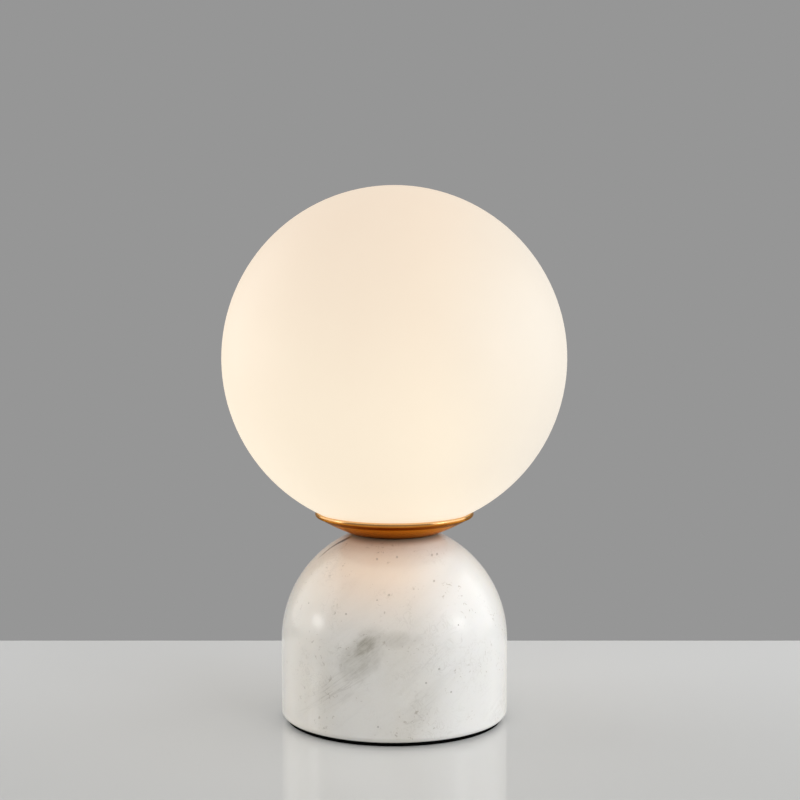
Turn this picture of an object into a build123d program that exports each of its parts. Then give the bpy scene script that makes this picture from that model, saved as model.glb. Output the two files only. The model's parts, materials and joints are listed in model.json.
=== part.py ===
from build123d import *
from math import acos, degrees, radians, sin, sqrt, tan
import os

# A table lamp: an opal glass ball in a shallow brass saucer on a polished marble dome.
# Millimetres, +Z up. The origin is the centre of the foot pad's underside. The cord hole
# is at the back, on +Y. From the pad up, each piece stands on the one below it.

os.makedirs("parts", exist_ok=True)

# ------------------------------------------------------------------ driving dimensions

# Fits
slip = 0.1  # of a screw, tube or pin in its hole, on the radius
seat_gap = 0.3  # between curved faces of pieces that come apart

# Glass globe
globe_radius = 100.0
globe_wall = 3.0
mouth_radius = 36.0
mouth_edge_round = 0.4

# Foot pad and marble base
pad_thickness = 2.2
pad_inset = 3.3  # from the side of the stone
base_radius = 66.3
base_height = 107.8
shoulder_radius = 68.0
seat_radius = 24.5
base_edge_round = 3.2
hollow_radius = 40.0
hollow_height = 30.0
tube_play = 0.6  # of the tube in the long hole through the stone

# Brass saucer and the gasket in it
dish_wall = 1.5
dish_radius = 120.0
lip_height = 12.8
lip_width = 2.35
lip_play = 0.6  # between the ground edge of the glass and the lip
lip_root_height = 9.7
lip_root_inset = 1.6
lip_crease = 0.35
gasket_top = 12.0  # above the saucer's foot
gasket_width = 7.3

# Spring steel spider that centres the mouth
spider_sheet = 0.8
spider_hub_radius = 14.0
finger_count = 3
finger_width = 12.0
finger_foot_inset = 1.2
finger_tip_inset = 2.6
finger_tip_height = 9.0
finger_knee_height = 2.0
finger_bow_start = 1.0  # below the mouth's ground edge
finger_bends = [4.0, 2.5, 3.0, 2.0]  # from the hub to the knee, on the middle of the sheet
arm_lead = 2.0  # of arm on the bowl's flat floor before it climbs

# Threaded tube, its nuts and washers
tube_radius = 5.0
tube_wall = 1.0
tube_end = 1.5  # of tube that stands out of the lower nut
nut_flats = 14.0
nut_chamfer = 30.0  # degrees that its turned corners lean in
saucer_nut_height = 3.5
tube_nut_height = 4.0
lock_washer_thickness = 0.9
lock_washer_radius = 8.5
lock_washer_split = 1.6
stone_washer_radius = 16.0
stone_washer_thickness = 2.0

# Base plate with its inserts and screws
plate_thickness = 2.0
plate_radius = 54.0
plate_screw_circle = 48.0
plate_screw_count = 3
plate_screw_turn = 30.0  # degrees from +X to the first screw
plate_screw_radius = 2.0
plate_screw_head_radius = 3.8
plate_screw_length = 11.0
plate_countersink = 90.0  # degrees across
insert_radius = 3.0
insert_length = 12.0
insert_play = 1.0  # of its hole past its end

# Cord hole and its bush
cord_hole_height = 11.0  # above the stone's underside
cord_hole_radius = 6.0
bush_bore_radius = 3.6
bush_length = 14.0
bush_flange_radius = 8.0
bush_flange_thickness = 1.8
bush_spot_depth = 1.0

# Terminal block in the hollow
pole_count = 3
pole_pitch = 9.0
block_depth = 19.0
block_end = 5.0  # of housing outside the last pole
block_height = 9.0
block_corner_round = 1.0
block_offset = 20.5  # from the tube to the middle of the block
turret_height = 5.0
turret_radius = 3.2
clamp_length = 15.0
clamp_side = 5.0
clamp_bore_radius = 1.5
clamp_height = 5.0
clamp_screw_spread = 10.0
clamp_screw_radius = 1.25
clamp_head_radius = 1.9
clamp_head_height = 1.6
fixing_screw_radius = 1.5
fixing_head_radius = 2.6
fixing_head_height = 1.8

# Leads and the earth tag
lead_radius = 1.1
lead_spread = 2.5  # between the two leads in the tube
lead_in_clamp = 5.0
lead_in_tag = 4.5
lead_stub = 4.0  # straight run out of the block or a terminal
neutral_stub = 7.0  # the middle lead has no side step, so it turns later
lead_climb = 4.5  # from the clamps to the turn towards the tube
lead_gather = 2.5  # below the tube, where the live lead turns up
lead_parting = 2.0  # above the tube, where two leads part
tag_thickness = 0.8
tag_ring_radius = 8.5
tag_reach = 13.5
tag_width = 4.0
tag_barrel_wall = 0.7
tag_barrel_length = 7.0

# Lampholder
collar_radius = 8.5
collar_height = 6.5
tube_in_holder = 8.0
holder_floor = 9.0
holder_radius = 19.6
holder_wall = 1.8
shoulder_height = 16.0
brim_height = 2.0  # of the full width below the neck
waist_round = 4.0
brim_round = 3.0
neck_height = 8.0
insert_floor = 3.0
skirt_top_radius = 18.9
skirt_top_lip = 2.0
grub_screw_radius = 1.5
grub_screw_height = 3.2
shell_wall = 0.35
shell_start = 5.3  # above the insert's floor
shell_length = 20.5
insert_lip = 1.0  # of the insert's ring above the shell
thread_play = 0.1
insert_ring_wall = 2.2
contact_rise = 1.5  # of the lamp's contact above the insert's floor
terminal_width = 6.0
terminal_depth = 8.0
terminal_height = 5.0
tongue_sheet = 0.5
tongue_width = 5.0
tongue_root = 1.0  # above its terminal's underside
tongue_lap = 2.0  # up inside the screw shell
tongue_overhang = 3.0  # past the middle
tongue_bow = 0.6  # from its knee up to the middle
tongue_droop = 0.4  # from the middle to its end
tongue_bends = [0.8, 2.0]  # at the knee and in the middle
terminal_screw_radius = 1.25
terminal_screw_head = 2.0

# Lamp with its screw cap
lamp_height = 108.0
lamp_radius = 30.0
diffuser_wall = 1.2
diffuser_height = 52.0  # from its rim to its top
diffuser_flank_radius = 60.0
cap_radius = 13.1
cap_wall = 0.4
cap_start = 8.0  # above the contact
cap_shoulder = 1.5
cap_rim = 2.0  # turned in round the insulator
housing_wall = 2.0
spigot_length = 12.0
housing_leans = [0.35, 0.3]  # outward for each 1 upward, where its flare starts and ends
insulator_radius = 11.6
button_radius = 4.9
button_height = 1.8
stem_radius = 2.0
stem_length = 4.0
board_inset = 1.0
board_thickness = 1.6
chip_count = 12
chip_side = 3.0
chip_height = 0.7
chip_circle = 17.0

# ------------------------------------------------------------------ heights and places

base_z = pad_thickness
plate_top_z = base_z + plate_thickness
ceiling_z = base_z + hollow_height
seat_z = base_z + base_height
cord_z = base_z + cord_hole_height

mouth_z = seat_z + gasket_top
mouth_depth = sqrt((globe_radius - globe_wall) ** 2 - mouth_radius**2)
globe_z = mouth_z + mouth_depth
mouth_outer_radius = sqrt(globe_radius**2 - mouth_depth**2)

tag_z = ceiling_z - stone_washer_thickness - tag_thickness
tube_nut_z = tag_z - lock_washer_thickness - tube_nut_height
tube_bottom_z = tube_nut_z - tube_end
floor_z = seat_z + dish_wall
saucer_nut_z = floor_z + spider_sheet + lock_washer_thickness
holder_z = saucer_nut_z + saucer_nut_height
tube_top_z = holder_z + tube_in_holder
neck_z = holder_z + shoulder_height
insert_z = neck_z + neck_height
insert_floor_z = insert_z + insert_floor
contact_z = insert_floor_z + contact_rise
shell_radius = cap_radius + thread_play
insert_bore_radius = shell_radius + shell_wall + slip
insert_ring_radius = insert_bore_radius + insert_ring_wall
shell_z = insert_floor_z + shell_start
insert_top_z = shell_z + shell_length + insert_lip
skirt_top_z = insert_top_z + slip + skirt_top_lip

housing_z = skirt_top_z + seat_gap
lamp_top_z = contact_z + lamp_height
diffuser_z = lamp_top_z - diffuser_height
lamp_centre_z = lamp_top_z - lamp_radius

# ------------------------------------------------------------------ marble base

# A dome turned from one block: a short upright wall that runs into the dome without an
# edge. The hollow for the wiring, the recess for the plate and the holes are drilled.
dome_angle = acos((seat_radius + shoulder_radius - base_radius) / shoulder_radius)
shoulder_z = seat_z - shoulder_radius * sin(dome_angle)

cord_plane = Plane(origin=(0, base_radius, cord_z), x_dir=(-1, 0, 0), z_dir=(0, 1, 0))

with BuildPart() as marble_base:
    with BuildSketch(Plane.XZ):
        with BuildLine():
            under = Line((0, base_z), (base_radius, base_z))
            wall = Line(under @ 1, (base_radius, shoulder_z))
            dome_centre = (base_radius - shoulder_radius, shoulder_z)
            dome = CenterArc(dome_centre, shoulder_radius, 0, degrees(dome_angle))
            top = Line(dome @ 1, (0, seat_z))
            Line(top @ 1, under @ 0)
        outline = make_face()
        fillet(outline.vertices().sort_by_distance(wall @ 0)[0], radius=base_edge_round)
    revolve(axis=Axis.Z)
    with BuildSketch(Plane.XY.offset(base_z)):
        Circle(plate_radius + slip)
    extrude(amount=plate_thickness, mode=Mode.SUBTRACT)
    with BuildSketch(Plane.XY.offset(base_z)):
        Circle(hollow_radius)
    extrude(amount=hollow_height, mode=Mode.SUBTRACT)
    with BuildSketch(Plane.XY.offset(ceiling_z)):
        Circle(tube_radius + tube_play)
    extrude(amount=seat_z - ceiling_z, mode=Mode.SUBTRACT)
    with BuildSketch(Plane.XY.offset(plate_top_z)):
        with PolarLocations(plate_screw_circle, plate_screw_count, start_angle=plate_screw_turn):
            Circle(insert_radius + slip)
    extrude(amount=insert_length + insert_play, mode=Mode.SUBTRACT)
    with BuildSketch(cord_plane):
        Circle(cord_hole_radius)
    extrude(amount=-(base_radius - hollow_radius / 2), mode=Mode.SUBTRACT)
    with BuildSketch(cord_plane):
        Circle(bush_flange_radius + seat_gap)
    extrude(amount=-bush_spot_depth, mode=Mode.SUBTRACT)

marble_base.part.label = "marble_base"
export_step(marble_base.part, "parts/marble_base.step")

# ------------------------------------------------------------------ foot pad

# A die cut disc of black foam, glued under the stone and over the plate.
with BuildPart() as foot_pad:
    with BuildSketch():
        Circle(base_radius - pad_inset)
    extrude(amount=pad_thickness)

foot_pad.part.label = "foot_pad"
export_step(foot_pad.part, "parts/foot_pad.step")

# ------------------------------------------------------------------ base plate

# A steel disc in the recess under the stone. It closes the hollow and carries the
# terminal block.
block_x = -block_offset
block_length = (pole_count - 1) * pole_pitch + 2 * block_end
pole_rows = [(row - (pole_count - 1) / 2) * pole_pitch for row in range(pole_count)]
fixing_rows = [row + pole_pitch / 2 for row in pole_rows[:-1]]

with BuildPart() as base_plate:
    with BuildSketch(Plane.XY.offset(base_z)):
        Circle(plate_radius)
        with Locations(*[(block_x, row) for row in fixing_rows]):
            Circle(fixing_screw_radius + slip, mode=Mode.SUBTRACT)
    extrude(amount=plate_thickness)
    with Locations(Plane.XY.offset(base_z).rotated((180, 0, 0))):
        with PolarLocations(plate_screw_circle, plate_screw_count, start_angle=-plate_screw_turn):
            CounterSinkHole(
                radius=plate_screw_radius + slip,
                counter_sink_radius=plate_screw_head_radius + slip,
                depth=plate_thickness,
                counter_sink_angle=plate_countersink,
            )

base_plate.part.label = "base_plate"
export_step(base_plate.part, "parts/base_plate.step")

# Brass inserts, glued into blind holes in the stone.
with BuildPart() as plate_inserts:
    with BuildSketch(Plane.XY.offset(plate_top_z)):
        with PolarLocations(plate_screw_circle, plate_screw_count, start_angle=plate_screw_turn):
            Circle(insert_radius)
            Circle(plate_screw_radius + slip, mode=Mode.SUBTRACT)
    extrude(amount=insert_length)

plate_inserts.part.label = "plate_inserts"
export_step(plate_inserts.part, "parts/plate_inserts.step")

# Countersunk screws, flush with the plate's underside.
with BuildPart() as plate_screws:
    with BuildSketch(Plane.XY.offset(base_z)):
        with PolarLocations(plate_screw_circle, plate_screw_count, start_angle=plate_screw_turn):
            Circle(plate_screw_head_radius)
    extrude(amount=plate_screw_head_radius - plate_screw_radius, taper=plate_countersink / 2)
    with BuildSketch(Plane.XY.offset(base_z)):
        with PolarLocations(plate_screw_circle, plate_screw_count, start_angle=plate_screw_turn):
            Circle(plate_screw_radius)
    extrude(amount=plate_screw_length)

plate_screws.part.label = "plate_screws"
export_step(plate_screws.part, "parts/plate_screws.step")

# ------------------------------------------------------------------ cord bush

# A flanged plastic bush in the cord hole, with a rounded mouth.
with BuildPart() as cord_bush:
    with BuildSketch(cord_plane.offset(-bush_spot_depth)):
        Circle(bush_flange_radius)
    extrude(amount=bush_flange_thickness)
    with BuildSketch(cord_plane.offset(-bush_spot_depth)):
        Circle(cord_hole_radius - slip)
    extrude(amount=-bush_length)
    outer_edge = faces().sort_by(Axis.Y)[-1].edges()
    fillet(outer_edge, radius=bush_flange_thickness / 2)
    with BuildSketch(cord_plane.offset(-bush_spot_depth - bush_length)):
        Circle(bush_bore_radius)
    extrude(amount=bush_length + bush_flange_thickness, mode=Mode.SUBTRACT)
    mouth_edge = edges().filter_by(GeomType.CIRCLE).sort_by(Axis.Y)[-1]
    fillet(mouth_edge, radius=bush_flange_thickness / 3)

cord_bush.part.label = "cord_bush"
export_step(cord_bush.part, "parts/cord_bush.step")

# ------------------------------------------------------------------ threaded tube

# The lamp's tie bar: it hangs the stone, the saucer and the holder on one another, and
# carries the leads up.
with BuildPart() as threaded_tube:
    with BuildSketch(Plane.XY.offset(tube_bottom_z)):
        Circle(tube_radius)
        Circle(tube_radius - tube_wall, mode=Mode.SUBTRACT)
    extrude(amount=tube_top_z - tube_bottom_z)

threaded_tube.part.label = "threaded_tube"
export_step(threaded_tube.part, "parts/threaded_tube.step")


def washer(height, radius, thickness, split=0.0):
    """A flat washer round the tube, or a spring washer where it is split."""
    with BuildPart() as ring:
        with BuildSketch(Plane.XY.offset(height)):
            Circle(radius)
            Circle(tube_radius + slip, mode=Mode.SUBTRACT)
            if split:
                with Locations((radius, 0)):
                    Rectangle(2 * radius, split, mode=Mode.SUBTRACT)
        extrude(amount=thickness)
    return ring.part


def hexagon_nut(height, thickness):
    """A thin nut on the tube, with its corners turned off."""
    with BuildPart() as nut:
        with BuildSketch(Plane.XY.offset(height)):
            RegularPolygon(nut_flats / 2, side_count=6, major_radius=False)
            Circle(tube_radius + slip / 2, mode=Mode.SUBTRACT)
        extrude(amount=thickness)
        with BuildSketch(Plane.XY.offset(height)):
            Circle(nut_flats / 2)
        extrude(amount=thickness, taper=nut_chamfer - 90, mode=Mode.INTERSECT)
    return nut.part


# ------------------------------------------------------------------ lower clamp stack

# Under the hollow's ceiling, from the top: a wide washer that spares the stone, the earth
# tag, a spring washer and the nut.
stone_washer = washer(
    ceiling_z - stone_washer_thickness, stone_washer_radius, stone_washer_thickness
)
stone_washer.label = "stone_washer"
export_step(stone_washer, "parts/stone_washer.step")

tube_lock_washer = washer(
    tube_nut_z + tube_nut_height,
    lock_washer_radius,
    lock_washer_thickness,
    lock_washer_split,
)
tube_lock_washer.label = "tube_lock_washer"
export_step(tube_lock_washer, "parts/tube_lock_washer.step")

tube_nut = hexagon_nut(tube_nut_z, tube_nut_height)
tube_nut.label = "tube_nut"
export_step(tube_nut, "parts/tube_nut.step")

# A ring tag whose tongue turns down into a crimp barrel for the earth lead.
barrel_radius = lead_radius + slip + tag_barrel_wall

with BuildPart() as earth_tag:
    with BuildSketch(Plane.XY.offset(tag_z)):
        Circle(tag_ring_radius)
        with Locations((0, -tag_reach / 2)):
            Rectangle(tag_width, tag_reach)
        with Locations((0, -tag_reach)):
            Circle(barrel_radius)
        Circle(tube_radius + slip, mode=Mode.SUBTRACT)
    extrude(amount=tag_thickness)
    with BuildSketch(Plane.XY.offset(tag_z)):
        with Locations((0, -tag_reach)):
            Circle(barrel_radius)
            Circle(lead_radius + slip, mode=Mode.SUBTRACT)
    extrude(amount=-tag_barrel_length)

earth_tag.part.label = "earth_tag"
export_step(earth_tag.part, "parts/earth_tag.step")

# ------------------------------------------------------------------ terminal block

# A three pole block: brass clamps in a housing with a turret over each clamp screw.
clamp_z = plate_top_z + clamp_height
turret_top_z = plate_top_z + block_height + turret_height
screw_columns = [block_x - clamp_screw_spread / 2, block_x + clamp_screw_spread / 2]
screw_wells = [(column, row) for column in screw_columns for row in pole_rows]
fixing_places = [(block_x, row) for row in fixing_rows]

with BuildPart() as terminal_block:
    with BuildSketch(Plane.XY.offset(plate_top_z)):
        with Locations((block_x, 0)):
            RectangleRounded(block_depth, block_length, block_corner_round)
    extrude(amount=block_height)
    with BuildSketch(Plane.XY.offset(plate_top_z + block_height)):
        with Locations(*screw_wells):
            Circle(turret_radius)
    extrude(amount=turret_height)
    with BuildSketch(Plane.XY.offset(clamp_z)):
        with Locations(*screw_wells):
            Circle(clamp_head_radius + slip)
        with Locations(*fixing_places):
            Circle(fixing_screw_radius + slip)
    extrude(until=Until.LAST, mode=Mode.SUBTRACT)
    with BuildSketch(Plane.XY.offset(plate_top_z)):
        with Locations(*fixing_places):
            Circle(fixing_screw_radius + slip)
    extrude(amount=block_height, mode=Mode.SUBTRACT)
    with BuildSketch(Plane.YZ.offset(block_x - block_depth / 2)):
        with Locations(*[(row, clamp_z) for row in pole_rows]):
            Rectangle(clamp_side + 2 * slip, clamp_side + 2 * slip)
    extrude(amount=block_depth, mode=Mode.SUBTRACT)

terminal_block.part.label = "terminal_block"
export_step(terminal_block.part, "parts/terminal_block.step")

with BuildPart() as terminal_clamps:
    with BuildSketch(Plane.YZ.offset(block_x - clamp_length / 2)):
        with Locations(*[(row, clamp_z) for row in pole_rows]):
            Rectangle(clamp_side, clamp_side)
            Circle(clamp_bore_radius, mode=Mode.SUBTRACT)
    extrude(amount=clamp_length)
    with BuildSketch(Plane.XY.offset(clamp_z)):
        with Locations(*screw_wells):
            Circle(clamp_screw_radius + slip)
    extrude(amount=clamp_side, mode=Mode.SUBTRACT)

terminal_clamps.part.label = "terminal_clamps"
export_step(terminal_clamps.part, "parts/terminal_clamps.step")

clamp_screw_tip_z = clamp_z + lead_radius + slip
clamp_head_z = clamp_z + clamp_side / 2 + slip

with BuildPart() as clamp_screws:
    with BuildSketch(Plane.XY.offset(clamp_screw_tip_z)):
        with Locations(*screw_wells):
            Circle(clamp_screw_radius)
    extrude(amount=clamp_head_z - clamp_screw_tip_z)
    with BuildSketch(Plane.XY.offset(clamp_head_z)):
        with Locations(*screw_wells):
            Circle(clamp_head_radius)
    extrude(amount=clamp_head_height)

clamp_screws.part.label = "clamp_screws"
export_step(clamp_screws.part, "parts/clamp_screws.step")

# Two screws between the poles hold the block down on the plate.
with BuildPart() as block_screws:
    with BuildSketch(Plane.XY.offset(base_z)):
        with Locations(*fixing_places):
            Circle(fixing_screw_radius)
    extrude(amount=plate_thickness + block_height)
    with BuildSketch(Plane.XY.offset(plate_top_z + block_height)):
        with Locations(*fixing_places):
            Circle(fixing_head_radius)
    extrude(amount=fixing_head_height)

block_screws.part.label = "block_screws"
export_step(block_screws.part, "parts/block_screws.step")

# ------------------------------------------------------------------ leads

# Single cores. Live and neutral run up the tube to the holder, earth to its tag.


def lead(*points):
    """A lead along straight runs joined by arcs that are as large as the runs allow."""
    radii = []
    for before, corner, after in zip(points, points[1:], points[2:]):
        run_in = Vector(*corner) - Vector(*before)
        run_out = Vector(*after) - Vector(*corner)
        half_turn = radians(run_in.get_angle(run_out) / 2)
        radii.append(0.45 * min(run_in.length, run_out.length) / tan(half_turn))
    with BuildPart() as core:
        with BuildLine() as route:
            FilletPolyline(*points, radius=radii)
        with BuildSketch(Plane(origin=route.line @ 0, z_dir=route.line % 0)):
            Circle(lead_radius)
        sweep()
    return core.part


clamp_face_x = block_x + clamp_length / 2
block_face_x = block_x + block_depth / 2
tongue_reach = sqrt((shell_radius - slip) ** 2 - (tongue_width / 2) ** 2)
shell_tongue_x = tongue_reach - tongue_sheet / 2
terminal_x = shell_tongue_x - tongue_sheet / 2 - terminal_width / 2
terminal_z = insert_z - terminal_height
side = lead_spread / 2

live_lead = lead(
    (clamp_face_x - lead_in_clamp, pole_rows[2], clamp_z),
    (block_face_x + lead_stub, pole_rows[2], clamp_z),
    (-side, pole_rows[2] / 2, clamp_z + lead_climb),
    (-side, 0, tube_bottom_z - lead_gather),
    (-side, 0, tube_top_z + lead_parting),
    (-terminal_x, 0, terminal_z - lead_stub),
    (-terminal_x, 0, terminal_z),
)
live_lead.label = "live_lead"
export_step(live_lead, "parts/live_lead.step")

neutral_lead = lead(
    (clamp_face_x - lead_in_clamp, pole_rows[1], clamp_z),
    (block_face_x + neutral_stub, pole_rows[1], clamp_z),
    (side, 0, clamp_z + lead_climb),
    (side, 0, tube_top_z + lead_parting),
    (terminal_x, 0, terminal_z - lead_stub),
    (terminal_x, 0, terminal_z),
)
neutral_lead.label = "neutral_lead"
export_step(neutral_lead, "parts/neutral_lead.step")

earth_lead = lead(
    (clamp_face_x - lead_in_clamp, pole_rows[0], clamp_z),
    (block_face_x + lead_stub, pole_rows[0], clamp_z),
    (0, -tag_reach, clamp_z + lead_climb),
    (0, -tag_reach, tag_z - tag_barrel_length + lead_in_tag),
)
earth_lead.label = "earth_lead"
export_step(earth_lead, "parts/earth_lead.step")

# ------------------------------------------------------------------ brass saucer

# A thin dish spun from sheet, with a flat foot on the stone and a rounded lip round the
# glass. Its underside is one arc from the foot to the crease under the lip.
lip_inner_radius = mouth_outer_radius + lip_play
lip_outer_radius = lip_inner_radius + lip_width
lip_root_radius = lip_outer_radius - lip_root_inset
chord = Vector(lip_root_radius - seat_radius, lip_root_height)
chord_middle = Vector(seat_radius, seat_z) + chord / 2
arc_rise = sqrt(dish_radius**2 - (chord.length / 2) ** 2)
arc_centre = chord_middle + Vector(-chord.Y, chord.X).normalized() * arc_rise


def dish_z(radius, inset=0.0):
    """Height of the dish's underside at a radius, or of a face that far above it."""
    across = radius - arc_centre.X
    return arc_centre.Y - sqrt((dish_radius - inset) ** 2 - across**2)


def dish_r(height, inset=0.0):
    """Radius at which the underside, or a face that far above it, has this height."""
    down = arc_centre.Y - height
    return arc_centre.X + sqrt((dish_radius - inset) ** 2 - down**2)


def dish_arc(start_radius, end_radius, inset=0.0):
    """The stretch of the underside, or of a face above it, between two radii."""
    middle = (start_radius + end_radius) / 2
    return ThreePointArc(
        (start_radius, dish_z(start_radius, inset)),
        (middle, dish_z(middle, inset)),
        (end_radius, dish_z(end_radius, inset)),
    )


def glass_z(radius):
    """Lowest height that stays the seat gap away from the outside of the glass."""
    return globe_z - sqrt((globe_radius + seat_gap) ** 2 - radius**2)


lip_tip_radius = lip_outer_radius - lip_width / 3
lip_middle_z = seat_z + (lip_root_height + lip_height) / 2

with BuildPart() as brass_saucer:
    with BuildSketch(Plane.XZ):
        with BuildLine():
            foot = Line((0, seat_z), (seat_radius, seat_z))
            under = dish_arc(seat_radius, lip_root_radius)
            root = Line(under @ 1, under @ 1 + Vector(lip_crease, 0))
            lip = ThreePointArc(
                root @ 1,
                (lip_outer_radius, lip_middle_z),
                (lip_tip_radius, glass_z(lip_tip_radius)),
            )
            flare = Line(lip @ 1, (lip_inner_radius, glass_z(lip_inner_radius)))
            inner_z = dish_z(lip_inner_radius, dish_wall)
            inner = Line(flare @ 1, (lip_inner_radius, inner_z))
            bowl = dish_arc(lip_inner_radius, dish_r(floor_z, dish_wall), dish_wall)
            floor = Line(bowl @ 1, (0, floor_z))
            Line(floor @ 1, foot @ 0)
        make_face()
    revolve(axis=Axis.Z)
    with BuildSketch(Plane.XY.offset(seat_z)):
        Circle(tube_radius + slip)
    extrude(amount=dish_wall, mode=Mode.SUBTRACT)

brass_saucer.part.label = "brass_saucer"
export_step(brass_saucer.part, "parts/brass_saucer.step")

# A moulded silicone ring: flat on top for the ground mouth, bowed below like the dish.
gasket_outer_radius = lip_inner_radius - slip
gasket_inner_radius = gasket_outer_radius - gasket_width
bed = dish_wall + slip / 2

with BuildPart() as globe_gasket:
    with BuildSketch(Plane.XZ):
        with BuildLine():
            below = dish_arc(gasket_inner_radius, gasket_outer_radius, bed)
            outside = Line(below @ 1, (gasket_outer_radius, mouth_z))
            above = Line(outside @ 1, (gasket_inner_radius, mouth_z))
            Line(above @ 1, below @ 0)
        make_face()
    revolve(axis=Axis.Z)

globe_gasket.part.label = "globe_gasket"
export_step(globe_gasket.part, "parts/globe_gasket.step")

# ------------------------------------------------------------------ globe spider

# One pressed star of spring steel. Each arm leaves the hub flat, climbs over the bowl,
# stands up through the mouth, bows out to a knee and leans in to its tip.
half_sheet = spider_sheet / 2
knee_radius = mouth_radius - seat_gap - half_sheet
finger_foot_radius = knee_radius - finger_foot_inset
arm_start_radius = dish_r(floor_z, dish_wall) - arm_lead
arm_end_z = dish_z(finger_foot_radius, dish_wall) + 2 * spider_sheet

with BuildPart() as globe_spider:
    with BuildSketch(Plane.XY.offset(floor_z)):
        Circle(spider_hub_radius)
    extrude(amount=spider_sheet)
    for finger in range(finger_count):
        turned = Plane.XZ.rotated((0, 0, 90 + finger * 360 / finger_count))
        with BuildSketch(turned):
            with BuildLine():
                FilletPolyline(
                    (spider_hub_radius / 2, floor_z + half_sheet),
                    (arm_start_radius, floor_z + half_sheet),
                    (finger_foot_radius, arm_end_z),
                    (finger_foot_radius, mouth_z - finger_bow_start),
                    (knee_radius, mouth_z + finger_knee_height),
                    (knee_radius - finger_tip_inset, mouth_z + finger_tip_height),
                    radius=finger_bends,
                )
            trace(line_width=spider_sheet)
        extrude(amount=finger_width / 2, both=True)
    with BuildSketch(Plane.XY.offset(floor_z)):
        Circle(tube_radius + slip)
    extrude(amount=spider_sheet, mode=Mode.SUBTRACT)

globe_spider.part.label = "globe_spider"
export_step(globe_spider.part, "parts/globe_spider.step")

# ------------------------------------------------------------------ upper clamp stack

saucer_lock_washer = washer(
    floor_z + spider_sheet, lock_washer_radius, lock_washer_thickness, lock_washer_split
)
saucer_lock_washer.label = "saucer_lock_washer"
export_step(saucer_lock_washer, "parts/saucer_lock_washer.step")

saucer_nut = hexagon_nut(saucer_nut_z, saucer_nut_height)
saucer_nut.label = "saucer_nut"
export_step(saucer_nut, "parts/saucer_nut.step")

# ------------------------------------------------------------------ lampholder

# The lower cap: a collar that screws onto the tube, flared out to a shoulder for the
# skirt and a neck for its thread.
neck_radius = holder_radius - holder_wall - slip
bore_radius = tube_radius + slip / 2
grub_z = holder_z + grub_screw_height

with BuildPart() as holder_dome:
    with BuildSketch(Plane.XZ):
        with BuildLine():
            Polyline(
                (bore_radius, holder_z),
                (collar_radius, holder_z),
                (collar_radius, holder_z + collar_height),
                (holder_radius, neck_z - brim_height),
                (holder_radius, neck_z),
                (neck_radius, neck_z),
                (neck_radius, insert_z),
                (neck_radius - holder_wall, insert_z),
                (neck_radius - holder_wall, neck_z),
                (collar_radius, holder_z + holder_floor),
                (bore_radius, holder_z + holder_floor),
                close=True,
            )
        outline = make_face()
        waist = (collar_radius, holder_z + collar_height)
        fillet(outline.vertices().sort_by_distance(waist)[0], radius=waist_round)
        brim = (holder_radius, neck_z - brim_height)
        fillet(outline.vertices().sort_by_distance(brim)[0], radius=brim_round)
    revolve(axis=Axis.Z)
    with BuildSketch(Plane.YZ):
        with Locations((0, grub_z)):
            Circle(grub_screw_radius + slip)
    extrude(amount=collar_radius, mode=Mode.SUBTRACT)

holder_dome.part.label = "holder_dome"
export_step(holder_dome.part, "parts/holder_dome.step")

# The locking screw, side on in the collar and against the tube.
with BuildPart() as grub_screw:
    with BuildSketch(Plane.YZ.offset(tube_radius + slip)):
        with Locations((0, grub_z)):
            Circle(grub_screw_radius)
    extrude(amount=collar_radius - tube_radius - slip)

grub_screw.part.label = "grub_screw"
export_step(grub_screw.part, "parts/grub_screw.step")

# The insert: a floor with slots for the two tongues, and a ring round the screw shell.
tongue_x = terminal_x - terminal_width / 2 - tongue_sheet / 2
slot_width = tongue_sheet + 4 * slip
slot_length = tongue_width + 4 * slip

with BuildPart() as holder_insert:
    with BuildSketch(Plane.XY.offset(insert_z)):
        Circle(neck_radius)
        with Locations((-tongue_x, 0), (shell_tongue_x, 0)):
            Rectangle(slot_width, slot_length, mode=Mode.SUBTRACT)
    extrude(amount=insert_floor)
    with BuildSketch(Plane.XY.offset(insert_floor_z)):
        Circle(insert_ring_radius)
        Circle(insert_bore_radius, mode=Mode.SUBTRACT)
    extrude(amount=insert_top_z - insert_floor_z)

holder_insert.part.label = "holder_insert"
export_step(holder_insert.part, "parts/holder_insert.step")

# The skirt: a slightly tapered sleeve that screws onto the neck, with a lip that holds
# the insert down.
skirt_bore_radius = neck_radius + slip
lip_bore_radius = insert_bore_radius + slip

with BuildPart() as holder_skirt:
    with BuildSketch(Plane.XZ):
        with BuildLine():
            Polyline(
                (skirt_bore_radius, neck_z),
                (holder_radius, neck_z),
                (skirt_top_radius, skirt_top_z),
                (lip_bore_radius, skirt_top_z),
                (lip_bore_radius, skirt_top_z - skirt_top_lip),
                (skirt_top_radius - holder_wall, skirt_top_z - skirt_top_lip),
                (skirt_bore_radius, insert_floor_z),
                close=True,
            )
        outline = make_face()
        rim = (skirt_top_radius, skirt_top_z)
        fillet(outline.vertices().sort_by_distance(rim)[0], radius=skirt_top_lip / 2)
    revolve(axis=Axis.Z)

holder_skirt.part.label = "holder_skirt"
export_step(holder_skirt.part, "parts/holder_skirt.step")

# The screw shell: thin nickel plated brass, seated in the insert's ring.
with BuildPart() as screw_shell:
    with BuildSketch(Plane.XY.offset(shell_z)):
        Circle(shell_radius + shell_wall)
        Circle(shell_radius, mode=Mode.SUBTRACT)
    extrude(amount=shell_length)

screw_shell.part.label = "screw_shell"
export_step(screw_shell.part, "parts/screw_shell.step")

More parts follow.
